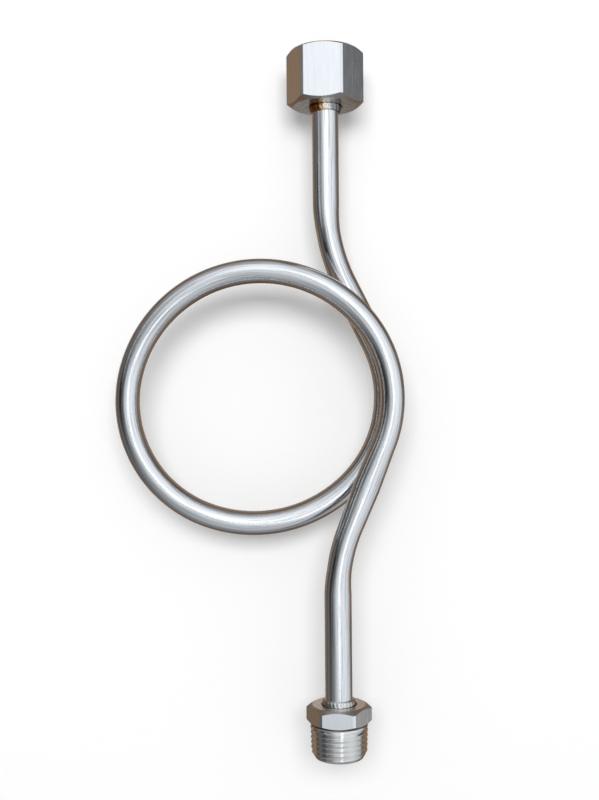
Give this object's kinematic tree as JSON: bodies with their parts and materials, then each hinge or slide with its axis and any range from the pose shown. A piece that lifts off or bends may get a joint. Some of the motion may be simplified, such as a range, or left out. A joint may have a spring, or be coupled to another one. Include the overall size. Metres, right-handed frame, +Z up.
{
  "type": "pressure gauge siphon",
  "caption": "Looped steel steam siphon tube with a female hexagon gauge socket on top and a male taper-threaded hexagon nipple below.",
  "frame": {"origin": "centre of the nipple's free end face, on the nipple's axis", "axes": "+Z up along the nipple and both legs towards the gauge; the loop lies to the -X side, in planes parallel to XZ; the leg to the gauge is offset to +Y"},
  "size_m": [0.1078, 0.0358, 0.2643],
  "materials": {
    "tube_steel": "polished stainless tube",
    "fitting_steel": "machined stainless",
    "weld_steel": "weld bead with heat tint"
  },
  "bodies": {
    "root": {"siphon_tube": "tube_steel", "gauge_socket": "fitting_steel", "process_nipple": "fitting_steel", "upper_weld": "weld_steel", "lower_weld": "weld_steel"}
  },
  "joints": []
}
